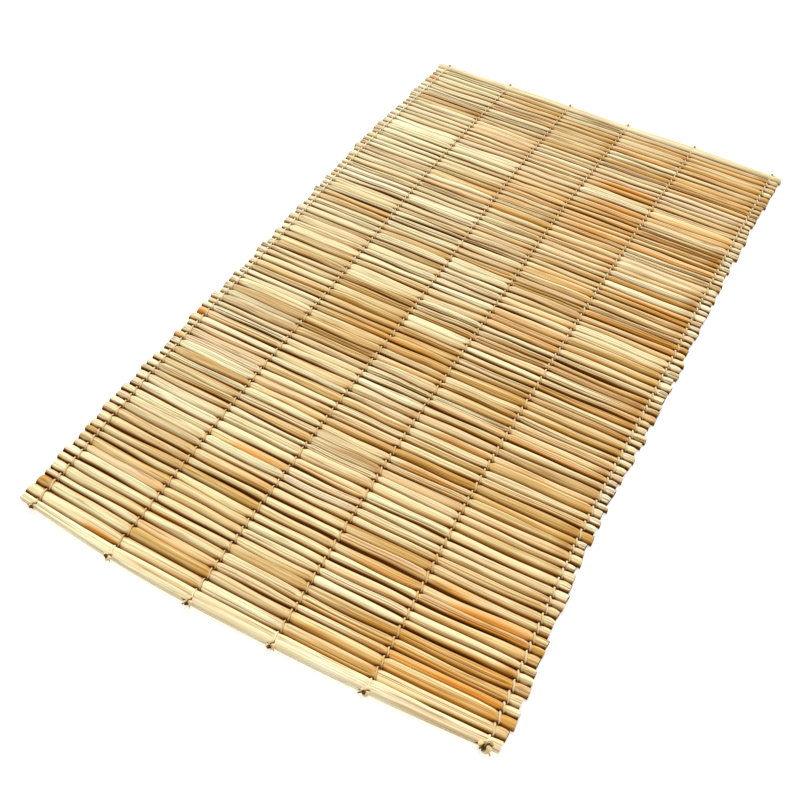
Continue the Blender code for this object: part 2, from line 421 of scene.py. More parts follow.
# %% Twine
CLEAN_TWINE = (0.88, 0.78, 0.51, 1)
WORN_TWINE = (0.72, 0.42, 0.13, 1)
GROOVE_SHADE_BROWN = (0.34, 0.20, 0.07, 1)
VALLEY_SHADE_BROWN = (0.130, 0.040, 0.002, 1)
DARKEST_TWINE_BROWN = (0.075, 0.055, 0.015, 1)


def twine():
    """Finish for plant fibre twine: dirt and fine hairs, with painted shade in the grooves between its
    plies, low in the valleys between reeds and where a knot's turns cross.
    """
    finish = Finish("twine")
    grain = finish.attribute("grain", "Vector")
    groove, dirt, valley_shade = finish.split(finish.attribute("ply", "Vector"))
    hair = finish.noise(grain, (900, 900, 900), detail=3)
    slow = finish.noise(grain, (45, 45, 45))
    groove_shade_and_hair = groove * (0.16 + 0.22 * dirt) + (hair - 0.5) * 0.4
    colour = finish.layers(
        CLEAN_TWINE,
        (dirt + (slow - 0.5) * 0.8, WORN_TWINE),
        # Painted shade in the grooves between the plies, with the fine hairs' own colour.
        (groove_shade_and_hair, GROOVE_SHADE_BROWN),
        # Painted shade low in the valleys between reeds.
        (valley_shade * 1.6, VALLEY_SHADE_BROWN),
        # Above 1 the darkest brown: painted shade where a knot's turns cross, and the dark tails.
        (dirt - 1.0, DARKEST_TWINE_BROWN),
    )
    return finish.surface(
        Base_Color=colour,
        Roughness=0.85,
        Specular_IOR_Level=0.05,
        Normal=finish.bump(hair - groove * 0.5, 0.6, 0.0004),
    )


twine_finish = twine()
print("twine finish:", twine_finish.name)

# %% [markdown]
# ## The reeds
# A reed is a flattened tube. Between two rows of twine it swells until it touches its neighbours, and
# under the twine it is squeezed low and narrow, so a small opening, darkened more by painted shade,
# shows on each side of the strand. Real reeds differ: some stand apart over a whole bay, some are
# pressed flat edge to edge. A few short tables place the gaps and stains that show most, and a seeded
# draw does the rest.

# %% Gaps, flat places and stains
Patch = namedtuple("Patch", "x y length width strength")


def patches(*rows):
    """A table of patches. Its columns are x, y, length across the mat and width along it, all in
    millimetres, and strength in tenths."""
    return [Patch(*(size / 1000 for size in row[:4]), row[4] / 10) for row in rows]


OPEN_GAPS = patches(
    (450, 205, 950, 12, 7), (720, 172, 450, 10, 6),
    (140, 565, 340, 10, 10), (600, 420, 700, 10, 8),
    (750, 695, 450, 12, 10), (810, 766, 160, 20, 19),
    (600, 545, 500, 12, 9), (100, 1045, 300, 10, 10),
    (150, 992, 350, 10, 8), (450, 1245, 500, 10, 9),
    (580, 1220, 250, 10, 10), (150, 1445, 400, 10, 9),
    (600, 1330, 300, 10, 9), (850, 1480, 300, 10, 9),
    (820, 1415, 200, 10, 7), (800, 900, 300, 30, 8),
    (450, 1550, 800, 10, 6),
)
FLAT_PLACES = patches(
    (100, 1300, 170, 45, 10), (100, 590, 170, 40, 10),
    (100, 275, 170, 40, 8), (120, 150, 150, 30, 7),
    (430, 350, 140, 35, 8), (430, 115, 140, 30, 8),
    (280, 410, 150, 30, 9), (580, 350, 150, 30, 7),
    (760, 1100, 180, 50, 10), (280, 1400, 150, 40, 8),
    (780, 1300, 180, 35, 8), (620, 870, 150, 30, 8),
    (100, 870, 170, 35, 8), (270, 720, 160, 30, 7),
    (430, 1480, 140, 35, 7), (780, 1440, 160, 30, 7),
)
# Ochre on the near flanks of the first reeds beside the near border: partly stain, partly painted
# shade.
FLANK_STAINS_AND_SHADE = patches(
    (168, 34, 80, 18, 10), (270, 34, 100, 18, 4),
    (250, 110, 120, 20, 6), (740, 50, 200, 30, 7),
    (700, 100, 300, 50, 6),
)
SMOOTH_PARTS = patches(
    (180, 100, 500, 400, 10), (720, 140, 500, 340, 2),
)
STAINS = patches(
    (800, 73, 150, 16, 10), (860, 62, 60, 18, 8),
    (680, 70, 160, 14, 7), (820, 120, 100, 20, 6),
    (800, 190, 160, 30, 10), (720, 225, 100, 20, 9),
    (600, 195, 140, 20, 6), (180, 155, 60, 18, 8),
    (300, 290, 140, 18, 7), (450, 285, 120, 16, 5),
    (580, 405, 140, 16, 10), (600, 490, 140, 22, 7),
    (730, 485, 100, 18, 6), (360, 655, 260, 40, 6),
    (840, 715, 120, 22, 9), (800, 680, 160, 18, 6),
    (600, 605, 140, 18, 5), (780, 1010, 180, 30, 9),
    (580, 1000, 140, 20, 6), (580, 1170, 140, 45, 8),
    (360, 1170, 200, 22, 5), (600, 1270, 160, 40, 8),
    (600, 1350, 150, 35, 9), (830, 920, 140, 50, 5),
    (580, 1500, 160, 30, 6), (800, 1180, 180, 50, 5),
    (860, 160, 50, 60, 4), (0, 526, 50, 20, 9),
    (0, 448, 50, 16, 7),
)
DARK_PARTS = patches(
    (270, 40, 160, 50, 10), (760, 40, 180, 50, 5),
    (760, 90, 200, 80, 7), (430, 120, 140, 60, 11),
    (270, 185, 450, 80, 10), (100, 360, 170, 60, 15),
    (750, 420, 350, 110, 8), (600, 440, 150, 60, 11),
    (760, 525, 180, 60, 11), (270, 530, 160, 200, 13),
    (430, 640, 140, 150, 7), (270, 720, 160, 140, 14),
    (760, 745, 200, 70, 10), (100, 790, 170, 130, 9),
    (760, 840, 180, 60, 21), (700, 900, 350, 70, 9),
    (100, 980, 170, 50, 7), (600, 1000, 150, 60, 9),
    (760, 1230, 180, 80, 6), (430, 1490, 140, 120, 12),
    (760, 1520, 180, 140, 9), (270, 1560, 160, 60, 11),
    (20, 40, 80, 60, 30), (20, 190, 80, 60, 30),
    (20, 500, 80, 60, 35), (20, 1080, 80, 60, 25),
    (20, 1240, 80, 60, 25), (880, 200, 60, 100, 30),
    (880, 1480, 60, 60, 34),
)
PALE_PARTS = patches(
    (600, 150, 140, 120, 13), (680, 280, 380, 70, 15),
    (430, 285, 140, 70, 19), (100, 500, 170, 120, 16),
    (760, 680, 180, 50, 6), (520, 840, 320, 60, 13),
    (100, 925, 170, 60, 19), (430, 1000, 140, 60, 15),
    (270, 1090, 160, 160, 9), (100, 1160, 170, 220, 14),
    (700, 1110, 350, 160, 9), (270, 1310, 160, 70, 8),
    (700, 1400, 380, 60, 16), (180, 1480, 340, 60, 12),
    (20, 650, 80, 130, 16), (20, 920, 80, 70, 14),
    (20, 1360, 80, 150, 22), (880, 460, 80, 260, 19),
    (880, 1080, 60, 560, 17),
)
GOLDEN_PARTS = patches(
    (600, 1120, 160, 160, 10), (500, 1270, 800, 360, 10),
    (200, 1500, 400, 120, 8), (780, 140, 300, 180, 9),
    (600, 960, 500, 120, 6), (270, 480, 160, 120, 8),
)
GREYED_PARTS = patches(
    (100, 330, 170, 160, 6), (100, 590, 170, 70, 10),
    (100, 990, 170, 70, 7), (520, 360, 320, 60, 6),
    (680, 520, 350, 60, 5), (760, 1080, 180, 60, 6),
    (680, 1560, 400, 70, 10), (20, 800, 80, 600, 6),
    (20, 1360, 80, 300, 12),
)
tone_parts = len(DARK_PARTS) + len(PALE_PARTS) + len(GOLDEN_PARTS) + len(GREYED_PARTS)
print("placed by hand:", len(OPEN_GAPS), "gaps,", len(FLAT_PLACES), "flat places,",
      len(STAINS) + len(FLANK_STAINS_AND_SHADE), "stains and", tone_parts, "changes of tone")


def spread(table, x, y):
    """How strongly the patches cover each place: the strongest counts, and each fades at its rim."""
    cover = np.zeros(np.broadcast(x, y).shape)
    for patch in table:
        across = np.abs(x - patch.x) / (patch.length / 2)
        along = np.abs(y - patch.y) / (patch.width / 2)
        cover = np.maximum(cover, patch.strength * np.exp(-across ** 4 - along ** 4))
    return cover


# %% Gaps between the reeds
LOOK_SEED = 7
SPOTS = len(TWINE_ROWS) + 1
TIGHT_GAP = 0.0003
USUAL_GAP = 0.0013
OPEN_GAP = 0.0029
ROW_GAP = 0.0036
END_GAP = 0.0010
END_GAP_RANGE = (0.4, 1.4)
CLOSE_PLACES = (0, 0.35, 0.80, 1.60)
CLOSENESS = (0.82, 0.93, 1, 0.60)
PRESSED_ABOVE = 0.82
PRESSED_FLAT = 0.9
EDGE_BEND = 0.0013
EDGE_STEP = 0.0020
RIGHT_TRIM = 0.0025
BORDER_GAPS = (0.0015, 0.0008, 0.0008, 0.0010, 0.0008, 0.0022, 0.0020)
BORDER_LEANS = (0.0, 0.5, 0.0, 0.5, -0.5, 1.0, 0.0)
BORDER_PRESSED = (0.0, 0.2, 0.3, 0.3, 0.3, 1.0, 0.0)

look = np.random.default_rng(LOOK_SEED)
tip_x[:, 1] -= RIGHT_TRIM


def spots_along(i, y):
    """The seven places that have their own look along a reed or an edge: two ends and five bays."""
    ends = tip_x[min(i, FIELD_REEDS - 1)]
    return np.concatenate((ends[:1], station_places(y)[1::2], ends[1:]))


EACH_EDGE = (FIELD_REEDS + 1, SPOTS)
edge_y = edges[:, None]
edge_spots = np.array([spots_along(i, y) for i, y in enumerate(edges)])
opened = spread(OPEN_GAPS, edge_spots, edge_y)
placed_flat = spread(FLAT_PLACES, edge_spots, edge_y)
drawn_flat = (look.random(EACH_EDGE) > PRESSED_ABOVE) * PRESSED_FLAT
pressed = np.maximum(placed_flat, drawn_flat) * unit(1 - opened)
spot_gap = look.random(EACH_EDGE) ** 2
whole_gap = look.random((FIELD_REEDS + 1, 1)) ** 3
edge_gap = TIGHT_GAP + USUAL_GAP * (spot_gap + whole_gap)
closeness = np.interp(edges, CLOSE_PLACES, CLOSENESS)[:, None]
edge_gap = closeness * (edge_gap * (1 - pressed) + OPEN_GAP * opened)
edge_gap[:, [0, -1]] = END_GAP * closeness * look.uniform(*END_GAP_RANGE, (FIELD_REEDS + 1, 2))
edge_bend = EDGE_BEND * look.uniform(-1, 1, (FIELD_REEDS + 1, 2, SPOTS))
edge_step = EDGE_STEP * look.uniform(-1, 1, (FIELD_REEDS + 1, len(TWINE_ROWS)))
edge_bend[[0, -1]] = 0
edge_step[[0, -1]] = 0
gap_lean = look.uniform(-1, 1, EACH_EDGE)
pressed[:, [0, -1]] = 0
edge_gap[0] = BORDER_GAPS
gap_lean[0] = BORDER_LEANS
pressed[0] = BORDER_PRESSED
print("mean gap between reeds:", round(float(edge_gap.mean()), 4))

# %% Tones, stains and creases of the reeds
MEAN_TONE = 0.19
REED_SPREAD = 0.22
SPOT_SPREAD = 0.18
SPOT_SPREAD_RIGHT = 0.12
RIGHT_FROM = 0.4
RIGHT_REACH = 0.3
PATCHY_SPREAD = 0.10
PATCHY_REEDS = 11
TONE_TO_RIGHT = 0.30
TONE_TO_FAR = 0.10
NEAR_TONE = 0.18
NEAR_REACH = 0.20
DARKER = 0.32
PALER = 0.36
END_TONES = (-0.75, -0.45)
END_SPREAD = 0.22
ROSE_SPREAD = 0.50
ROSE_LESS = 0.14
MOST_TINT = 0.8
LEFT_ROSE = -0.1
LEFT_ROSE_SPREAD = 0.4
MOST_LEFT_ROSE = 0.6
FIRST_REED_ROSE = 0.2
GREYER = 0.45
GOLD_TO_RIGHT = 0.38
GOLD_FROM = 0.15
GOLD_SPREAD = 0.15
GOLDEN = 0.16
END_GOLD = 0.25
CREASES_FROM = (-0.50, 0.10)
CREASES_TO = (-0.05, 0.50)
CREASE_DEPTH = 0.0022
SMOOTHER = 0.8
ROW_DARKENING_BY_BAY = (0, 0.15, 0.10, 0.35, 0.30, 0.80, 0)

EACH_REED = (FIELD_REEDS, SPOTS)
reed_y = centres[:, None]
reed_spots = np.array([spots_along(i, y) for i, y in enumerate(centres)])
neighbours = np.exp(-np.linspace(-2, 2, PATCHY_REEDS) ** 2)
neighbours /= np.linalg.norm(neighbours)
patchy = look.standard_normal(EACH_REED)
patchy = np.array([np.convolve(column, neighbours, "same") for column in patchy.T]).T
reed_noise = look.standard_normal((FIELD_REEDS, 1))
spot_noise = look.standard_normal(EACH_REED)
to_right = unit((reed_spots - RIGHT_FROM) / RIGHT_REACH)
reed_tone = (MEAN_TONE + REED_SPREAD * reed_noise
             + (SPOT_SPREAD + SPOT_SPREAD_RIGHT * to_right) * spot_noise
             + PATCHY_SPREAD * patchy
             + TONE_TO_RIGHT * (reed_spots - MAT_WIDTH / 2)
             + TONE_TO_FAR * (reed_y - MAT_LENGTH / 2)
             + NEAR_TONE * unit(1 - reed_y / NEAR_REACH)
             + DARKER * spread(DARK_PARTS, reed_spots, reed_y)
             - PALER * spread(PALE_PARTS, reed_spots, reed_y))
reed_tone[:, [0, -1]] += look.normal(END_TONES, END_SPREAD, (FIELD_REEDS, 2))
rose_noise = look.standard_normal(EACH_REED)
reed_rose = np.clip(ROSE_SPREAD * rose_noise - ROSE_LESS, 0, MOST_TINT)
left_rose = look.normal(LEFT_ROSE, LEFT_ROSE_SPREAD, FIELD_REEDS)
reed_rose[:, 0] += np.clip(left_rose, 0, MOST_LEFT_ROSE)
reed_rose[0] *= FIRST_REED_ROSE
reed_rose -= GREYER * spread(GREYED_PARTS, reed_spots, reed_y)
gold_noise = look.standard_normal(EACH_REED)
reed_gold = np.clip(GOLD_TO_RIGHT * (reed_spots - GOLD_FROM) + GOLD_SPREAD * gold_noise
                    + GOLDEN * spread(GOLDEN_PARTS, reed_spots, reed_y), 0, MOST_TINT)
reed_gold[:, [0, -1]] *= END_GOLD
crease_place = look.uniform(CREASES_FROM, CREASES_TO, (FIELD_REEDS, SPOTS, 2))
crease_depth = CREASE_DEPTH * look.random(EACH_REED)
crease_depth *= 1 - SMOOTHER * spread(SMOOTH_PARTS, reed_spots, reed_y)
later_look = np.random.default_rng(LOOK_SEED + 1)
reed_row_darkening = ROW_DARKENING_BY_BAY * later_look.random(EACH_REED) ** 2
tip_taper = later_look.random((FIELD_REEDS, 2))
print("tones from", round(float(reed_tone.min()), 2), "to", round(float(reed_tone.max()), 2))

# %% Lines between the reeds
Shift = namedtuple("Shift", "left first_bay first_row second_bay middle right")
SHIFT_PLACES = Shift(left=0.0, first_bay=0.10, first_row=0.19, second_bay=0.26, middle=0.45, right=0.90)
BORDER_SHIFT = Shift(left=0.0060, first_bay=0.0065, first_row=0.0070, second_bay=0.0045,
                     middle=0.0020, right=0.0)
SHIFTED_EDGES = (1.0, 0.5)


def bay_share(x, rows):
    """How far each place lies through its bay, from 0 at one row to 1 at the next."""
    step = np.clip(np.searchsorted(rows, x) - 1, 0, len(rows) - 2)
    return unit((x - rows[step]) / (rows[step + 1] - rows[step]))


def border_shift(x):
    """How far the first reed spreads over the near border reed, most of all at the left."""
    return np.interp(x, SHIFT_PLACES, BORDER_SHIFT)


def uneven_edge(i, x, rows):
    """The line between two reeds, with bends inside each bay that the solids leave out."""
    if i < len(SHIFTED_EDGES):
        return edge_line(i, x) - SHIFTED_EDGES[i] * border_shift(x)
    turn_through = math.pi * bay_share(x, rows)
    first, second = (by_bay(x, rows, bend) for bend in edge_bend[i])
    bends = first * np.sin(turn_through) + second * np.sin(2 * turn_through)
    return edge_line(i, x) + bends + ease(x, rows, edge_step[i])


def lumps_along(x, lumps, starts):
    """Low waves along a stem's top. Each has a height and a pace."""
    return sum(height * np.sin(x * pace + start) for (height, pace), start in zip(lumps, starts))


print("the first reed spreads over the border by up to", max(BORDER_SHIFT))

# %% One reed
NEAR_TWINE = 0.001 * np.array((-14, -9, -6, -3.5, -1.5, 0, 1.5, 3.5, 6, 9, 14))
TOP_POINTS = 15
UNDER_POINTS = 5
ROUND_POWER = 0.90
FLAT_POWER = 0.45
UNDER_POWER = 0.55
MIDDLE_HEIGHT = 0.32
UPPER_FROM = 0.01
TOP_FROM = 0.2
PINCH_REACH = 0.0042
PINCH_REACH_LEFT = 0.0066
PINCH_POWER = 1.4
PINCH_LIFT = 0.0006
SOLE_ROW_GAP = 0.0005
OPEN_ENOUGH = 0.0024
LEAST_DEPTH = 0.25
FLAT_SHALLOWER = 0.65
FLAT_LIFT = 0.55
TIP_REACH = 0.004
TIP_NARROWER = 0.0055
TIP_LOWER = 0.0025
REED_LUMPS = ((0.0003, 70), (0.0002, 190))
CREASE_WIDTH = 0.0013
CREASE_SWAY = 0.06
CREASE_PACE = 11
CRACK_A_METRE = 450
ROW_SOLE = 0.0028
GAP_SHADE_FROM = 0.06
ROW_GAP_SHADE = 0.10
GAP_SHADE_FADE = 0.36
GAP_SHADE_POWER = 1.3
LEFT_END_REACH = (0.20, 0.60)
LEFT_END_DARK = (1.30, 0.55)
BAY_SHARES = (0, 0.04, 0.09, 0.25, 0.60, 0.85, 0.92, 0.97, 1)
BAY_TONES = (0, -0.12, -0.20, -0.07, 0, 0.08, 0.16, 0.14, 0)
PAINTED_LIGHT_PLACES = (0.30, 0.65)
PAINTED_LIGHT_ACROSS = (0.0, 0.35)
ROW_DARKENING_SHARES = (0.80, 0.93, 0.98, 1)
ROW_DARKENING = (0, 1, 0.6, 0)
ROW_DARKENING_WEIGHT = 0.4
GRAIN_SHIFT = 3.7

turn = np.concatenate((np.linspace(0, math.pi, TOP_POINTS),
                       np.linspace(math.pi, 2 * math.pi, UNDER_POINTS + 2)[1:-1]))


def reed_places(rows, left, right):
    """Where a reed gets its rings: close together at the twine and wide apart between."""
    places = [(rows[:, None] + NEAR_TWINE).ravel()]
    reach = NEAR_TWINE[-1]
    for row, following in zip(rows, rows[1:]):
        places.append(np.linspace(row + reach, following - reach, 7)[1:-1])
    places.append(np.linspace(left, rows[0] - reach, 4)[:-1])
    places.append(np.linspace(rows[-1] + reach, right, 4)[1:])
    return np.sort(np.concatenate(places))


def reed_section(upper, lower, sole, crown, flats):
    """Rings of a flattened tube, from where its near and far sides run above and below its middle,
    the heights of its sole and crown, and how flat it is towards each side."""
    across, up = np.cos(turn), np.sin(turn)
    middle = sole + MIDDLE_HEIGHT * (crown - sole)
    near, far = (np.where(up > UPPER_FROM, top[:, None], bottom[:, None])
                 for top, bottom in zip(upper, lower))
    flat = np.where(across > 0, flats[1][:, None], flats[0][:, None])
    power = ROUND_POWER + (FLAT_POWER - ROUND_POWER) * flat
    power = np.where(up > 0, power, np.minimum(power, UNDER_POWER))
    reach = np.where(up > 0, (crown - middle)[:, None], (middle - sole)[:, None])
    y = (near + far) / 2 + (far - near) / 2 * np.sign(across) * np.abs(across) ** power
    z = middle[:, None] + reach * np.sign(up) * np.abs(up) ** power
    lifted = crown[:, None] - (crown[:, None] - z) * (1 - FLAT_LIFT * flat)
    return y, np.where(up > UPPER_FROM, lifted, z)


def cut_ends(rings, hollow, depth, slants):
    """Cut both ends at a slant and sink the pith a little, so that a rim shows."""
    closed = []
    for end, slant in zip((0, -1), slants):
        rim = rings[end]
        heart = rim.mean(axis=0)
        rim[:, 0] += (rim[:, 1:] - heart[1:]) @ slant
        inner = heart + hollow * (rim - heart)
        sunk = inner + (depth if end == 0 else -depth, 0, 0)
        closed.append((sunk[None], inner[None]))
    (first_sunk, first_inner), (last_sunk, last_inner) = closed
    return np.concatenate((first_sunk, first_inner, rings, last_inner, last_sunk))


def along(*parts, like=None):
    """Three values for each point, from arrays that have one value a ring or one a point."""
    shape = (parts[1] if like is None else like).shape
    columns = [part if part.ndim == 2 else part[:, None] for part in parts]
    return np.stack([np.broadcast_to(column, shape) for column in columns], axis=-1)


def reed_rings(i, wave):
    """Shape field reed i, and work out the values that colour it."""
    rows = station_places(centres[i])[::2]
    x = reed_places(rows, *tip_x[i])
    reach = np.where(x[:, None] < rows, PINCH_REACH_LEFT, PINCH_REACH)
    pinch = np.exp(-(np.abs(x[:, None] - rows) / reach) ** PINCH_POWER).max(axis=1)
    taper = np.exp((tip_x[i] - x[:, None]) / TIP_REACH * (1, -1)) @ tip_taper[i]
    sides = []
    for edge, sign in ((i, 1), (i + 1, -1)):
        lean = 1 + by_bay(x, rows, gap_lean[edge]) * (2 * bay_share(x, rows) - 1)
        gap = ease(x, edge_spots[edge], edge_gap[edge]) * lean * (1 - pinch)
        gap = gap + ROW_GAP * pinch + TIP_NARROWER * taper
        flat = by_bay(x, rows, pressed[edge]) * (1 - pinch) * (1 - unit(gap / OPEN_ENOUGH))
        depth = unit(LEAST_DEPTH + gap / OPEN_ENOUGH) * (1 - FLAT_SHALLOWER * flat)
        depth = np.maximum(depth * closeness[edge] ** 0.5, pinch)
        line = uneven_edge(edge, x, rows)
        sole_side = line + sign * (TIGHT_GAP + (SOLE_ROW_GAP - TIGHT_GAP) * pinch) / 2
        sides.append((line + sign * gap / 2, sole_side, flat, depth))
    (near, near_sole, near_flat, near_depth), (far, far_sole, far_flat, far_depth) = sides
    stations = station_places(centres[i])
    bay_crown = ease(x, stations, np.where(is_bay, crown_heights[i], BAY_CROWN))
    row_crown = ease(x, stations, np.where(is_bay, ROW_CROWN, crown_heights[i]))
    crown = bay_crown * (1 - pinch) + (row_crown + PINCH_LIFT) * pinch
    crown = crown + lumps_along(x, REED_LUMPS, wave) * (1 - pinch) - TIP_LOWER * taper
    upper, lower = (near, far), (near_sole, far_sole)
    y, z = reed_section(upper, lower, ROW_SOLE * pinch, crown, (near_flat, far_flat))
    from_middle = y - ((near + far) / 2)[:, None]
    drop = unit((crown[:, None] - z) / crown[:, None])
    depth = by_bay(x, rows, crease_depth[i]) * (1 - pinch)
    half = (far - near)[:, None] / 2
    from_creases = []
    for crease in range(2):
        sway = CREASE_SWAY * np.sin(x * CREASE_PACE + wave[2 + crease])
        line = by_bay(x, rows, crease_place[i, :, crease]) + sway
        from_crease = from_middle - half * line[:, None]
        furrow = depth[:, None] * np.exp(-(from_crease / CREASE_WIDTH) ** 2)
        z -= np.where(np.sin(turn) > TOP_FROM, furrow, 0)
        from_creases.append(1000 * from_crease)
    rings = along(x, y, z)
    # side is painted shade: it grows down each flank, deeper where a gap is open and near the twine.
    side = np.where(np.cos(turn) > 0, far_depth[:, None], near_depth[:, None])
    deep = (drop - GAP_SHADE_FROM + ROW_GAP_SHADE * pinch[:, None]) / GAP_SHADE_FADE
    side = side * unit(deep) ** GAP_SHADE_POWER
    end_dark = np.interp(centres[i], LEFT_END_REACH, LEFT_END_DARK)
    side = side * np.where(x < rows[0], end_dark, 1)[:, None]
    share = bay_share(x, rows)
    # Each stem darkens over the end of a bay, just before the next row of twine, most before the last
    # row.
    row_darkening = by_bay(x, rows, reed_row_darkening[i]) * np.interp(share, ROW_DARKENING_SHARES, ROW_DARKENING)
    side = side + ROW_DARKENING_WEIGHT * row_darkening[:, None]
    grain = along(x + GRAIN_SHIFT * i, from_middle, z)
    mostly_near = unit(0.75 - 0.5 * from_middle / half)
    only_near = unit(-0.1 - 1.6 * from_middle / half)
    stain = np.maximum(spread(STAINS, x, centres[i]), by_bay(x, rows, reed_gold[i]))
    # The flank patches, partly painted shade, colour only the near flank.
    flank_stain_and_shade = spread(FLANK_STAINS_AND_SHADE, x, centres[i])
    stain = np.maximum(stain[:, None] * mostly_near, flank_stain_and_shade[:, None] * only_near)
    tone = by_bay(x, rows, reed_tone[i]) + np.interp(share, BAY_SHARES, BAY_TONES)
    # Painted light and shade: each stem's far flank, towards the key light, is painted paler and its
    # near flank tanner, more towards the right.
    painted_light = np.interp(x, PAINTED_LIGHT_PLACES, PAINTED_LIGHT_ACROSS)
    tone = tone[:, None] - painted_light[:, None] * np.clip(from_middle / half, -1, 1)
    tint = along(tone, stain, by_bay(x, rows, reed_rose[i]), like=y)
    crack = along(*from_creases, CRACK_A_METRE * depth, like=y)
    return rings, grain, tint, side, crack


def with_cut_ends(rings, values, hollow, depth, slants):
    """Add the cut ends to a reed, and give their points the values of the nearest ring."""
    repeated = [np.concatenate((value[:1], value[:1], value, value[-1:], value[-1:]))
                for value in values]
    return [cut_ends(rings, hollow, depth, slants)] + repeated


print("a reed's section has", len(turn), "points")

# %% All the field reeds
HOLLOW = 0.70
PITH_DEPTH = 0.0025
PITH_DARK = 0.8
FIELD_SLANT = 0.12
FIELD_PIECES = ("near_field_reeds", "far_field_reeds")

field_pieces = []
for part, name in enumerate(FIELD_PIECES):
    bundle = Bundle()
    first = part * FIELD_REEDS // len(FIELD_PIECES)
    last = (part + 1) * FIELD_REEDS // len(FIELD_PIECES)
    for i in range(first, last):
        rings, *values = reed_rings(i, look.uniform(0, 2 * math.pi, 4))
        slants = look.uniform(-FIELD_SLANT, FIELD_SLANT, (2, 2))
        rings, grain, tint, side, crack = with_cut_ends(rings, values, HOLLOW, PITH_DEPTH, slants)
        # The sunk pith at each cut end gets painted shade too.
        side[[0, -1]] = PITH_DARK
        bundle.add_tube(rings, grain=grain, tint=tint, side=side, crack=crack)
    field_pieces.append(bundle.build(name, straw_finish))

# %% [markdown]
# ## The border reeds
# One wide, pale stem lies along each short side and takes the knots. It is made like a field reed, but
# wider, with a shallow seam along its middle, because such a stem has been pressed flat.

# %% Both border reeds
Across = namedtuple("Across", "left left_middle middle right_middle right")
BORDER_WIDTHS = {
    -1: Across(0.020, 0.030, 0.029, 0.025, 0.019),
    1: Across(0.020, 0.026, 0.023, 0.027, 0.020),
}
BORDER_TONE = {-1: 0.28, 1: 0.42}
BORDER_ENDS = {-1: (0.004, -0.008), 1: (-0.004, 0.004)}
BORDER_FLAT = 0.35
BORDER_PINCH = 1.4
BORDER_PINCH_INNER = 0.0008
BORDER_PINCH_OUTER = 0.0014
BORDER_LUMPS = ((0.0004, 50), (0.0002, 150))
BORDER_LOWER = 0.0008
BORDER_SOLE = 0.0015
BORDER_SHADE_FROM = 0.25
BORDER_SHADE_FADE = 0.5
PRESSED_PALER = 0.8
OUTER_DARK = 0.12
SEAM_SWAY = 0.002
SEAM_DEPTH = 0.0014
SEAM_WIDTH = 0.0022
SEAM_CRACK = 0.2
BORDER_HOLLOW = 0.74
BORDER_SLANT = 0.15
NO_CRACK = 5


def border_rings(side, wave):
    """Shape the border reed on one side: -1 is near, 1 is far."""
    edge = 0 if side < 0 else FIELD_REEDS
    rows = station_places(edges[edge])[::2]
    share = edges[edge] / MAT_LENGTH
    lines = (LEFT_TIPS, RIGHT_TIPS)
    ends = (along_length(line, share) + extra for line, extra in zip(lines, BORDER_ENDS[side]))
    x = reed_places(rows, *ends)
    reach = BORDER_PINCH * PINCH_REACH
    pinch = np.exp(-(np.abs(x[:, None] - rows) / reach) ** PINCH_POWER).max(axis=1)
    spread_over = (side < 0) * border_shift(x)
    inner = edge_line(edge, x) + side * (FIT_GAP + BORDER_PINCH_INNER * pinch + spread_over)
    width = np.array([along_length(BORDER_WIDTHS[side], place / MAT_WIDTH) for place in x])
    outer = edge_line(edge, x) + side * (FIT_GAP + width - BORDER_PINCH_OUTER * pinch)
    near, far = (outer, inner) if side < 0 else (inner, outer)
    crown = BORDER_BAY_HEIGHT * (1 - pinch) + BORDER_ROW_HEIGHT * pinch - BORDER_LOWER
    crown = crown + lumps_along(x, BORDER_LUMPS, wave) * (1 - pinch)
    flat = np.full(len(x), BORDER_FLAT)
    first_half = bay_share(x, rows) < 0.5
    inner_flat = np.maximum(flat, by_bay(x, rows, pressed[edge]) * first_half)
    flats = (flat, inner_flat) if side < 0 else (inner_flat, flat)
    y, z = reed_section((near, far), (near, far), BORDER_SOLE * pinch, crown, flats)
    from_middle = y - ((near + far) / 2)[:, None]
    drop = unit((crown[:, None] - z) / crown[:, None])
    # Painted shade on the flanks: deep on the side towards the field, slight on the outer edge.
    inside = np.cos(turn) * side < 0
    inner_dark = 1 - PRESSED_PALER * inner_flat[:, None]
    painted_shade = unit((drop - BORDER_SHADE_FROM) / BORDER_SHADE_FADE)
    painted_shade = painted_shade * np.where(inside, inner_dark, OUTER_DARK)
    from_seam = from_middle - SEAM_SWAY * np.sin(x * 7 + wave[3])[:, None]
    seam = SEAM_DEPTH * np.exp(-(from_seam / SEAM_WIDTH) ** 2)
    z -= np.where(np.sin(turn) > TOP_FROM, seam, 0)
    rings = along(x, y, z)
    grain = along(x + 500 + 40 * side, from_middle, z)
    tint = along(BORDER_TONE[side] + 0.10 * np.sin(x * 13 + wave[1]), 0 * x, 0 * x, like=y)
    # The dark line along the seam is partly painted shade in its furrow.
    deep_crack = SEAM_CRACK + 0.15 * np.sin(x * 17 + wave[2])
    crack = along(1000 * from_seam, 1000 * from_seam + NO_CRACK, deep_crack, like=y)
    return rings, grain, tint, painted_shade, crack


border_pieces = {}
for side, node in ((-1, "near_border_reed"), (1, "far_border_reed")):
    bundle = Bundle()
    rings, *values = border_rings(side, look.uniform(0, 2 * math.pi, 4))
    slants = look.uniform(-BORDER_SLANT, BORDER_SLANT, (2, 2))
    rings, grain, tint, painted_shade, crack = with_cut_ends(rings, values, BORDER_HOLLOW, PITH_DEPTH, slants)
    # The sunk pith at each cut end gets painted shade too.
    painted_shade[[0, -1]] = PITH_DARK
    bundle.add_tube(rings, grain=grain, tint=tint, side=painted_shade, crack=crack)
    border_pieces[node] = bundle.build(node.replace("_reed", "_stem"), border_finish)

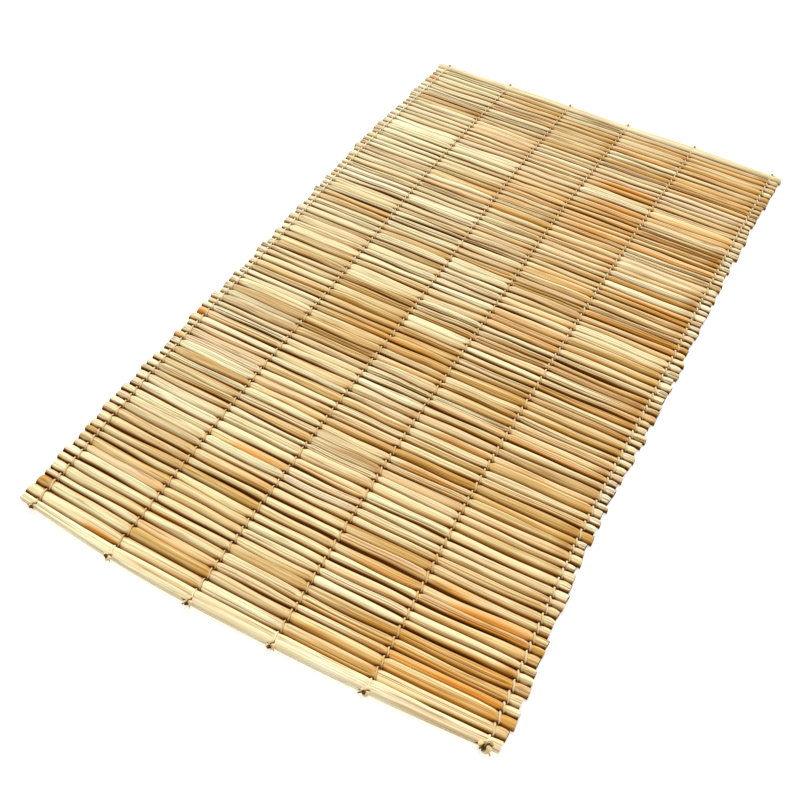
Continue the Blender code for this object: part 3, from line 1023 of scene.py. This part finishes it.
# %% [markdown]
# ## The twine
# Two strands twist round each other, and each half turn of the pair holds one reed. One strand goes
# over the reed while the other goes under, and they change sides in the valley, so every visible
# crossing slants the same way. A tube with a lobed section that turns as it runs looks like two plies.

# %% One strand
ROW_RADII = (0.0016, 0.0015, 0.0015, 0.0016, 0.0018, 0.0018)
STRAND_OFFSET = 0.0021
STRAND_SIDES = 8
STEPS_A_REED = 9
FLOOR_CLEARANCE = 0.0001
BORDER_PRESS = 0.8
PLY_TURN = 2 * math.pi / 0.011
PLY_LOBE = 0.22
HUG_POWER = 3.2
HUG_ROUND = 0.75
SWAY_BEND = 0.8
VALLEY_HEIGHT = 0.0056
VALLEY_REACH = 0.0034


def strand_rings(path, radius, lobe=PLY_LOBE, sides=STRAND_SIDES):
    """Rings round a path, lobed like two plies that turn as they run."""
    ahead = np.gradient(path, axis=0)
    ahead /= np.linalg.norm(ahead, axis=1)[:, None]
    across = np.array((1.0, 0, 0)) - ahead * ahead[:, :1]
    across /= np.linalg.norm(across, axis=1)[:, None]
    up = np.cross(ahead, across)
    run = np.concatenate(([0], np.cumsum(np.linalg.norm(np.diff(path, axis=0), axis=1))))
    angle = np.linspace(0, 2 * math.pi, sides, endpoint=False)
    ply = np.cos(2 * angle[None, :] - PLY_TURN * run[:, None])
    reach = np.broadcast_to(radius, run.shape)[:, None] * (1 + lobe * ply)
    outward = np.cos(angle)[:, None] * across[:, None] + np.sin(angle)[:, None] * up[:, None]
    return path[:, None] + reach[..., None] * outward, 0.5 - 0.5 * ply


def add_strand(bundle, path, radius, seed, dirt, valley_shade=0, **shape):
    """Add one strand along a path, with the values that its finish reads."""
    rings, groove = strand_rings(path, radius, **shape)
    # Painted shade where the strand runs low in the valley between two reeds.
    painted_shade = np.exp(-((rings[..., 2] - VALLEY_HEIGHT) / VALLEY_REACH) ** 2)
    valley_shade = np.broadcast_to(valley_shade, len(path))[:, None]
    ply = along(dirt + np.zeros(len(path)), groove, valley_shade * painted_shade)[..., [1, 0, 2]]
    bundle.add_tube(rings, grain=rings + (seed, 0, 0), ply=ply)


def held_reeds(row):
    """The stems that a row of twine holds, borders too: x and y of the sides, and each one's top."""
    rows_at = [station_places(y)[::2] for y in edges]
    x = [rows[row] for rows in rows_at]
    ends = np.array((x[0], x[-1]))
    lines = [uneven_edge(i, rows[row:row + 1], rows)[0] for i, rows in enumerate(rows_at)]
    near_width, far_width = (along_length(BORDER_WIDTHS[side], place / MAT_WIDTH)
                             for side, place in zip((-1, 1), ends))
    sides = [edge_line(0, ends)[0] - near_width] + lines + [lines[-1] + far_width]
    border_top = [BORDER_ROW_HEIGHT - BORDER_LOWER]
    tops = np.concatenate((border_top, crown_heights[:, 2 * row] + PINCH_LIFT, border_top))
    return np.array([x[0]] + x + [x[-1]]), np.array(sides), tops


def strand_path(row, first_over, wobble):
    """Path of one strand: over each second reed and under the others."""
    x, sides, tops = held_reeds(row)
    lowest = (1 + PLY_LOBE) * ROW_RADII[row] + FLOOR_CLEARANCE
    points = []
    for k, top in enumerate(tops):
        over = (k % 2 == 0) == first_over
        way = 1 if over else -1
        theta = np.linspace(0, math.pi, STEPS_A_REED, endpoint=k == len(tops) - 1)
        across = -np.cos(theta)
        rise = (1 - np.abs(across) ** HUG_POWER) ** HUG_ROUND
        middle = (ROW_SOLE + top) / 2
        press = BORDER_PRESS if k in (0, len(tops) - 1) else 0
        height = top + (1 - press) * ROW_RADII[row] - middle if over else middle - lowest
        y = (sides[k] + sides[k + 1]) / 2 + across * (sides[k + 1] - sides[k]) / 2
        line = x[k] + (x[k + 1] - x[k]) * (1 + across) / 2
        sway = STRAND_OFFSET * np.cos(theta) * (1 + SWAY_BEND * np.sin(theta) ** 2) * way
        points.append(np.stack((line + sway + wobble[k], y, middle + rise * height * way), axis=-1))
    return np.concatenate(points)


# %% Knots and tails
KNOT_STEPS = 56
KNOT_OPENING = 0.15
KNOT_HEIGHT = 1.2
KNOT_TILTS = (0.2, 0.6)
KNOT_BANDS = 21
BAND_SHARPNESS = 5
BAND_START = 2.5
TAIL_STEPS = 9
TAIL_DROOP = 0.3
TAIL_THINNER = 0.3
TAIL_REST = 0.00238
TAIL_ROOT = 1.5
TAIL_TURN = 0.3
TAIL_LENGTHS = (0.6, 1.3)
FIBRES_A_TAIL = 16
FIBRE_STEPS = 5
FIBRE_TURN = 0.35
FIBRE_LENGTHS = (0.002, 0.005)
FIBRE_RADII = (0.0005, 0.0002)
TWINE_WOBBLE = 0.00035
DIRT_AND_SHADE_REACH = (0.20, 0.80)
ROW_DIRT = ((0.50, 0.00), (0.70, 0.45), (0.65, 0.50), (0.70, 0.60), (0.75, 0.55), (0.35, 0.35))
ROW_VALLEY_SHADE = ((0.80, 0.30), (1.00, 0.80), (1.00, 0.90), (1.00, 1.00), (1.00, 0.90), (1.00, 1.00))
BORDER_DIRT = -0.40
BORDER_VALLEY_SHADE = 0.15
KNOT_DIRT = 0.35
DARK_TWINE = 2.30
Knot = namedtuple("Knot", "size radius out height")
Tail = namedtuple("Tail", "along out length radius dirt")
NEAR_KNOT = Knot(size=0.0020, radius=0.0028, out=-0.0020, height=0.0085)
CORNER_KNOT = Knot(size=0.0027, radius=0.0038, out=-0.0010, height=0.0095)
FAR_KNOT = Knot(size=0.0012, radius=0.0018, out=-0.0010, height=0.0080)
TAILS = (
    Tail(along=-1.0, out=-0.10, length=0.010, radius=0.0012, dirt=DARK_TWINE),
    Tail(along=-0.7, out=0.50, length=0.003, radius=0.0009, dirt=DARK_TWINE),
    Tail(along=0.9, out=0.40, length=0.006, radius=0.0017, dirt=KNOT_DIRT),
)


def knot_path(centre, size, tilt):
    """A loose overhand knot, as an open trefoil."""
    t = np.linspace(KNOT_OPENING, 2 * math.pi - KNOT_OPENING, KNOT_STEPS)
    x = np.sin(t) + 2 * np.sin(2 * t)
    y = np.cos(t) - 2 * np.cos(2 * t)
    loop = np.stack((x, y, -KNOT_HEIGHT * np.sin(3 * t)), axis=-1)
    turned = loop @ np.array(Matrix.Rotation(tilt, 3, "X") @ Matrix.Rotation(2 * tilt, 3, "Z")).T
    return centre + size * turned


def knot_dirt_and_shade(path):
    """The knot's dirt, with painted shade in dark bands where its turns cross."""
    bands = np.sin(np.linspace(0, KNOT_BANDS, len(path)))
    return KNOT_DIRT + DARK_TWINE * unit(BAND_SHARPNESS * bands - BAND_START)


def add_tail(bundle, start, direction, tail, seed):
    """A free end that droops to the ground and frays."""
    t = np.linspace(0, 1, TAIL_STEPS)[:, None]
    path = start + direction * tail.length * t
    path[:, 2] = np.maximum(start[2] * (1 - TAIL_DROOP * t[:, 0] ** 1.5), TAIL_REST)
    add_strand(bundle, path, tail.radius * (1 - TAIL_THINNER * t[:, 0]), seed, tail.dirt)
    for fibre in range(FIBRES_A_TAIL):
        aim = direction + look.uniform(-FIBRE_TURN, FIBRE_TURN, 3)
        root = path[look.integers(1, TAIL_STEPS - 1)]
        reach = aim * look.uniform(*FIBRE_LENGTHS)
        hair = root + reach * np.linspace(0, 1, FIBRE_STEPS)[:, None]
        hair[:, 2] = np.maximum(hair[:, 2], FIBRE_RADII[0])
        radii = np.linspace(*FIBRE_RADII, FIBRE_STEPS)
        add_strand(bundle, hair, radii, seed + fibre, tail.dirt, lobe=0, sides=4)


# %% Six rows of twine
twine_pieces = {}
for row in range(len(TWINE_ROWS)):
    bundle = Bundle()
    wobble = look.normal(0, TWINE_WOBBLE, FIELD_REEDS + 2)
    for strand in range(2):
        path = strand_path(row, strand == 0, wobble)
        dirt = np.interp(path[:, 1], DIRT_AND_SHADE_REACH, ROW_DIRT[row])
        valley_shade = np.interp(path[:, 1], DIRT_AND_SHADE_REACH, ROW_VALLEY_SHADE[row])
        dirt[:STEPS_A_REED] = dirt[-STEPS_A_REED:] = BORDER_DIRT
        valley_shade[:STEPS_A_REED] = valley_shade[-STEPS_A_REED:] = BORDER_VALLEY_SHADE
        add_strand(bundle, path, ROW_RADII[row], row + 10 * strand, dirt, valley_shade)
    x, sides, tops = held_reeds(row)
    near_knot = CORNER_KNOT if row == len(TWINE_ROWS) - 1 else NEAR_KNOT
    for end, side, knot in ((0, -1, near_knot), (-1, 1, FAR_KNOT)):
        centre = np.array((x[end], sides[end] + side * knot.out, knot.height))
        path = knot_path(centre, knot.size, look.uniform(*KNOT_TILTS))
        add_strand(bundle, path, knot.radius, row + 30, knot_dirt_and_shade(path))
        for tail in TAILS:
            aside = look.uniform(-TAIL_TURN, TAIL_TURN, 3) * (1, 1, 0)
            direction = np.array((tail.along, side * tail.out, 0)) + aside
            length = tail.length * look.uniform(*TAIL_LENGTHS) * knot.radius / NEAR_KNOT.radius
            root = centre + direction * TAIL_ROOT * knot.radius
            add_tail(bundle, root, direction, tail._replace(length=length), row + 50)
    node = f"twine_row_{row + 1}"
    twine_pieces[node] = bundle.build(f"twined_strands_{row + 1}", twine_finish)

# %% [markdown]
# ## Ride on the body and replace the solids
# Every piece rides on the mat's only body and stands for its plain solid, which is hidden.

# %% Ride and replace
for piece in field_pieces:
    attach(piece, "root")
    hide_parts("reed_panel")
for node, piece in border_pieces.items():
    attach(piece, "root")
    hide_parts(node)
for node, piece in twine_pieces.items():
    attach(piece, "root")
    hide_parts(node)
[border_pieces["near_border_reed"]] + list(twine_pieces.values())
print("pieces:", len(field_pieces) + len(border_pieces) + len(twine_pieces))

# %% [markdown]
# ## Floor, light and camera
# The photo is a product shot on white: soft light from the far side, so that each reed is pale on its
# far flank and brown on its near one, and a floor that washes out. The camera stands over one corner of
# the near side and is rolled a little.
# On the reeds, painted light and shade add to it: a paler far flank and painted shade deep in the gaps.

# %% White floor
FLOOR_SIZE = 300.0
FLOOR_WHITE = (0.95, 0.95, 0.95, 1)
FLOOR_GLOW = 0.50

bpy.ops.mesh.primitive_plane_add(size=FLOOR_SIZE, location=(0, 0, 0))
floor = bpy.context.object
floor.name = "floor"
floor_finish = Finish("floor_white")
floor.data.materials.append(floor_finish.surface(
    Base_Color=FLOOR_WHITE, Roughness=0.9, Specular_IOR_Level=0.0,
    Emission_Color=(1, 1, 1, 1), Emission_Strength=FLOOR_GLOW))
print("floor:", FLOOR_SIZE, "m across")

# %% Soft light
SKY_COLOUR = (1.0, 0.99, 0.97, 1)
SKY_STRENGTH = 0.55
KEY_STRENGTH = 3.45
KEY_SOFTNESS = math.radians(16)
KEY_COLOUR = (1.0, 0.97, 0.92)
KEY_AIM = Vector((0.30, -0.80, -0.78))

world = bpy.data.worlds.new("studio")
world.use_nodes = True
background = world.node_tree.nodes["Background"]
background.inputs["Color"].default_value = SKY_COLOUR
background.inputs["Strength"].default_value = SKY_STRENGTH
bpy.context.scene.world = world

key = bpy.data.lights.new("key", "SUN")
key.energy = KEY_STRENGTH
key.angle = KEY_SOFTNESS
key.color = KEY_COLOUR
key_object = bpy.data.objects.new("key", key)
key_object.rotation_euler = KEY_AIM.to_track_quat("-Z", "Y").to_euler()
bpy.context.scene.collection.objects.link(key_object)
bpy.context.scene.view_settings.view_transform = "Standard"
print("sky", SKY_STRENGTH, "and key light", KEY_STRENGTH)

# %% Camera
CAMERA_PLACE = Vector((0.9619, -0.6073, 1.4429)) + Vector(mat_to_frame)
CAMERA_AIM = Vector((-0.26915, 0.59564, -0.75681))
CAMERA_ROLL = math.radians(5.06)
CAMERA_LENS = 45.99

camera = bpy.data.cameras.new("camera")
camera.lens = CAMERA_LENS
camera_object = bpy.data.objects.new("camera", camera)
level = CAMERA_AIM.to_track_quat("-Z", "Y").to_matrix().to_4x4()
roll = Matrix.Rotation(CAMERA_ROLL, 4, "Z")
camera_object.matrix_world = Matrix.Translation(CAMERA_PLACE) @ level @ roll
bpy.context.scene.collection.objects.link(camera_object)
bpy.context.scene.camera = camera_object
print("camera at", tuple(round(v, 3) for v in camera_object.matrix_world.translation))
